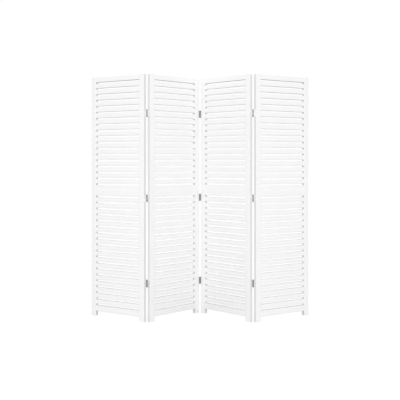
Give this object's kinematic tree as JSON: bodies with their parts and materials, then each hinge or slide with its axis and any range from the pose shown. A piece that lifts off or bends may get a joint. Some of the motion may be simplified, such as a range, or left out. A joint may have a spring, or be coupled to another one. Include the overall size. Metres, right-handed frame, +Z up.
{
  "type": "folding room divider screen",
  "caption": "Free-standing folding screen of hinged slatted wooden panels that divides a room or hides a corner.",
  "frame": {"origin": "on the floor, under the centre of the standing screen's bounding box", "axes": "+Z up; +X along the screen from its left end to its right as the viewer sees it; +Y away from the viewer, so the two joints at the viewer's side lie towards -Y"},
  "size_m": [1.5546, 0.336, 1.7],
  "materials": {
    "painted_frame": "white satin paint over a close-grained softwood",
    "painted_slats": "white satin paint over a close-grained softwood",
    "dowel_wood": "bare beech",
    "hinge_steel": "satin zinc plate",
    "pin_steel": "satin zinc plate",
    "screw_steel": "satin zinc plate"
  },
  "bodies": {
    "panel_1": {"hinge_12_high_leaf_1": "hinge_steel", "hinge_12_low_leaf_1": "hinge_steel", "hinge_12_middle_leaf_1": "hinge_steel", "panel_1_bottom_rail": "painted_frame", "panel_1_dowels": "dowel_wood", "panel_1_left_stile": "painted_frame", "panel_1_lower_slats": "painted_slats", "panel_1_middle_rail": "painted_frame", "panel_1_right_stile": "painted_frame", "panel_1_screws": "screw_steel", "panel_1_top_rail": "painted_frame", "panel_1_upper_slats": "painted_slats"},
    "panel_2": {"hinge_12_high_leaf_2": "hinge_steel", "hinge_12_low_leaf_2": "hinge_steel", "hinge_12_middle_leaf_2": "hinge_steel", "hinge_12_pins": "pin_steel", "hinge_23_high_leaf_2": "hinge_steel", "hinge_23_low_leaf_2": "hinge_steel", "hinge_23_middle_leaf_2": "hinge_steel", "hinge_23_pins": "pin_steel", "panel_2_bottom_rail": "painted_frame", "panel_2_dowels": "dowel_wood", "panel_2_left_stile": "painted_frame", "panel_2_lower_slats": "painted_slats", "panel_2_middle_rail": "painted_frame", "panel_2_right_stile": "painted_frame", "panel_2_screws": "screw_steel", "panel_2_top_rail": "painted_frame", "panel_2_upper_slats": "painted_slats"},
    "panel_3": {"hinge_23_high_leaf_3": "hinge_steel", "hinge_23_low_leaf_3": "hinge_steel", "hinge_23_middle_leaf_3": "hinge_steel", "hinge_34_high_leaf_3": "hinge_steel", "hinge_34_low_leaf_3": "hinge_steel", "hinge_34_middle_leaf_3": "hinge_steel", "hinge_34_pins": "pin_steel", "panel_3_bottom_rail": "painted_frame", "panel_3_dowels": "dowel_wood", "panel_3_left_stile": "painted_frame", "panel_3_lower_slats": "painted_slats", "panel_3_middle_rail": "painted_frame", "panel_3_right_stile": "painted_frame", "panel_3_screws": "screw_steel", "panel_3_top_rail": "painted_frame", "panel_3_upper_slats": "painted_slats"},
    "panel_4": {"hinge_34_high_leaf_4": "hinge_steel", "hinge_34_low_leaf_4": "hinge_steel", "hinge_34_middle_leaf_4": "hinge_steel", "panel_4_bottom_rail": "painted_frame", "panel_4_dowels": "dowel_wood", "panel_4_left_stile": "painted_frame", "panel_4_lower_slats": "painted_slats", "panel_4_middle_rail": "painted_frame", "panel_4_right_stile": "painted_frame", "panel_4_screws": "screw_steel", "panel_4_top_rail": "painted_frame", "panel_4_upper_slats": "painted_slats"}
  },
  "joints": [
    {"name": "left_fold", "type": "hinge", "parent": "panel_2", "child": "panel_1", "pos_m": [-0.36541, -0.14212, 0], "axis": [0, 0, 1], "range_deg": [-106, 74]},
    {"name": "centre_fold", "type": "hinge", "parent": "panel_2", "child": "panel_3", "pos_m": [0, 0.14667, 0], "axis": [0, 0, 1], "range_deg": [-94, 86]},
    {"name": "right_fold", "type": "hinge", "parent": "panel_3", "child": "panel_4", "pos_m": [0.36541, -0.14212, 0], "axis": [0, 0, 1], "range_deg": [-74, 106]}
  ]
}
